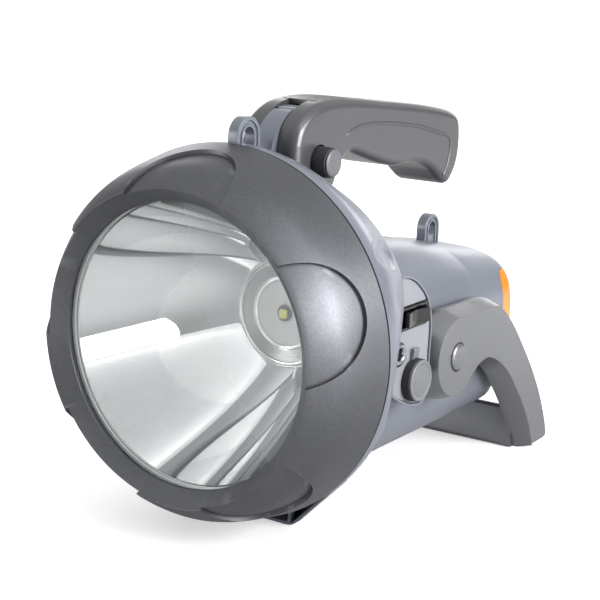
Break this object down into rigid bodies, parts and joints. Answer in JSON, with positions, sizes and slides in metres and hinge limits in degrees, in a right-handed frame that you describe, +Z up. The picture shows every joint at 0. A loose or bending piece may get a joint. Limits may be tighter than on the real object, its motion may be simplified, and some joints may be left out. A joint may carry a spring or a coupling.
{
  "type": "rechargeable led spotlight",
  "caption": "Handheld rechargeable spotlight with a deep reflector head, lockable tilting top handle, swing-out rear stand, side control panel and amber tail lamp.",
  "frame": {"origin": "on the floor under the middle of the resting lamp's overall length and width", "axes": "+X towards the control panel, +Y from the lens to the tail along the optical axis, +Z up"},
  "size_m": [0.1884, 0.2796, 0.213],
  "materials": {
    "bezel_grey": "dark metallic grey, fine satin grain",
    "housing_slate": "blue-grey, fine satin grain",
    "handle_graphite": "graphite grey, satin",
    "black_rubber": "matt black",
    "gloss_black": "gloss black",
    "panel_grey": "satin grey",
    "chrome_plate": "polished plating",
    "bright_reflector": "mirror-bright metallised",
    "clear_lens": "clear and polished",
    "amber_lens": "clear amber, polished",
    "white_board": "white solder mask",
    "led_phosphor": "yellow phosphor",
    "small_lamp": "tinted epoxy",
    "sink_alloy": "bare extrusion",
    "green_board": "green solder mask",
    "dark_plastic": "matt black",
    "pin_steel": "turned steel"
  },
  "bodies": {
    "lamp_body": {"front_bezel": "bezel_grey", "seam_ring": "black_rubber", "lens": "clear_lens", "lens_gasket": "black_rubber", "reflector": "bright_reflector", "lamp_cup": "bright_reflector", "led_board": "white_board", "led_package": "white_board", "led_die": "led_phosphor", "heat_sink": "sink_alloy", "housing_right": "housing_slate", "housing_left": "housing_slate", "tail_lens": "amber_lens", "tail_board": "green_board", "tail_led_1": "small_lamp", "tail_led_2": "small_lamp", "tail_led_3": "small_lamp", "tail_led_4": "small_lamp", "control_panel": "panel_grey", "switch_housing": "gloss_black", "charge_jack": "chrome_plate", "charge_indicator": "dark_plastic", "charge_socket": "dark_plastic", "handle_pivot_pin": "pin_steel", "stand_pin_right": "handle_graphite", "stand_pin_left": "handle_graphite", "battery": "dark_plastic", "battery_terminal_1": "pin_steel", "battery_terminal_2": "pin_steel", "battery_shelf": "dark_plastic", "charge_board": "green_board", "board_post_1": "dark_plastic", "board_post_2": "dark_plastic", "board_post_3": "dark_plastic", "board_post_4": "dark_plastic"},
    "handle": {"handle_right": "handle_graphite", "handle_left": "handle_graphite"},
    "lock_button": {"lock_button": "black_rubber", "lock_button_cap": "panel_grey"},
    "stand": {"stand": "handle_graphite"},
    "mode_rocker": {"mode_rocker": "gloss_black"},
    "socket_cap": {"socket_cap": "black_rubber"}
  },
  "joints": [
    {"name": "handle_pivot", "type": "hinge", "parent": "lamp_body", "child": "handle", "pos_m": [0, -0.04135, 0.1834], "axis": [1, 0, 0], "range_deg": [0, 75]},
    {"name": "lock_button_press", "type": "slide", "parent": "handle", "child": "lock_button", "axis": [-1, 0, 0], "range_m": [0, 0.004], "stiffness_N_per_m": 400, "springref_m": -0.002},
    {"name": "stand_pivot", "type": "hinge", "parent": "lamp_body", "child": "stand", "pos_m": [0, 0.01885, 0.0777], "axis": [1, 0, 0], "range_deg": [-95, 0]},
    {"name": "mode_rocker_pivot", "type": "hinge", "parent": "lamp_body", "child": "mode_rocker", "pos_m": [0.065, -0.02665, 0.1082], "axis": [0, 0, 1], "range_deg": [-9, 9]},
    {"name": "socket_cap_hinge", "type": "hinge", "parent": "lamp_body", "child": "socket_cap", "pos_m": [0.068, -0.02415, 0.0905], "axis": [0, -1, 0], "range_deg": [0, 100]}
  ]
}
